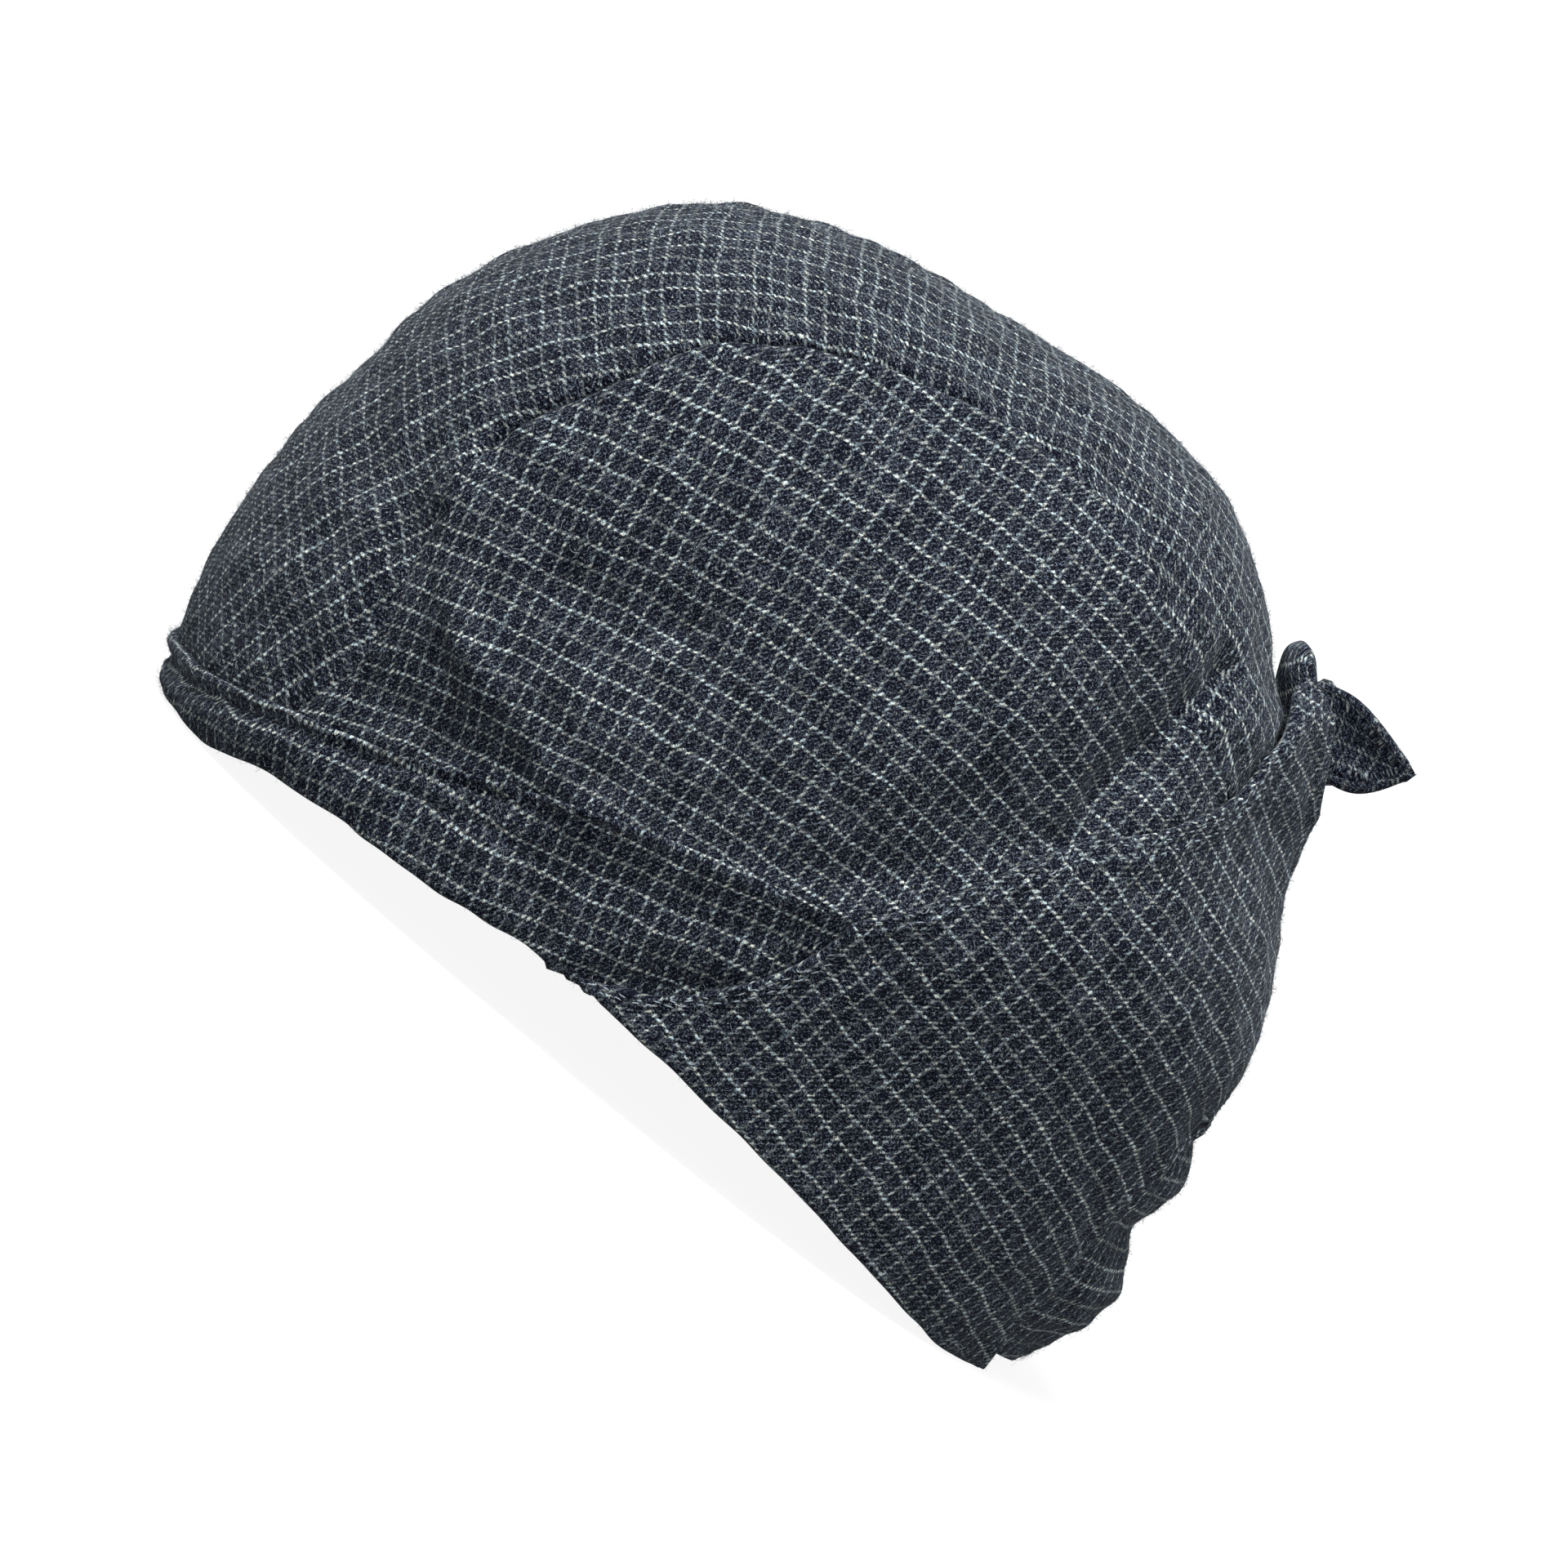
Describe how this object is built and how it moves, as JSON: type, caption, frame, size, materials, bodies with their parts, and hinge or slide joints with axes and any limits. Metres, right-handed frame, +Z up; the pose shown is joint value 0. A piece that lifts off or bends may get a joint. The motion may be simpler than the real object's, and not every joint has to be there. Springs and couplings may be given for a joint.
{
  "type": "bandana cap",
  "caption": "Soft brushed check-cloth bandana cap with a panelled crown, folded front band, side wraps tied in a knot at the back and a gathered nape piece.",
  "frame": {"origin": "middle of the box that bounds the cap, at the level its rim rests on", "axes": "+X to the wearer's left, +Y from the front of the cap to its back, +Z up"},
  "size_m": [0.1596, 0.2221, 0.155],
  "materials": {
    "check_cloth": "matte brushed wool twill, dark navy grey with a fine pale graph check",
    "band_cloth": "matte brushed wool twill, the same check, darker where it is folded"
  },
  "bodies": {
    "root": {"crown_center_panel": "check_cloth", "crown_left_panel": "check_cloth", "crown_right_panel": "check_cloth", "front_band": "band_cloth", "left_wrap": "check_cloth", "right_wrap": "check_cloth", "nape_gusset": "band_cloth", "knot": "check_cloth", "tail_left": "band_cloth", "tail_right": "check_cloth"}
  },
  "joints": []
}
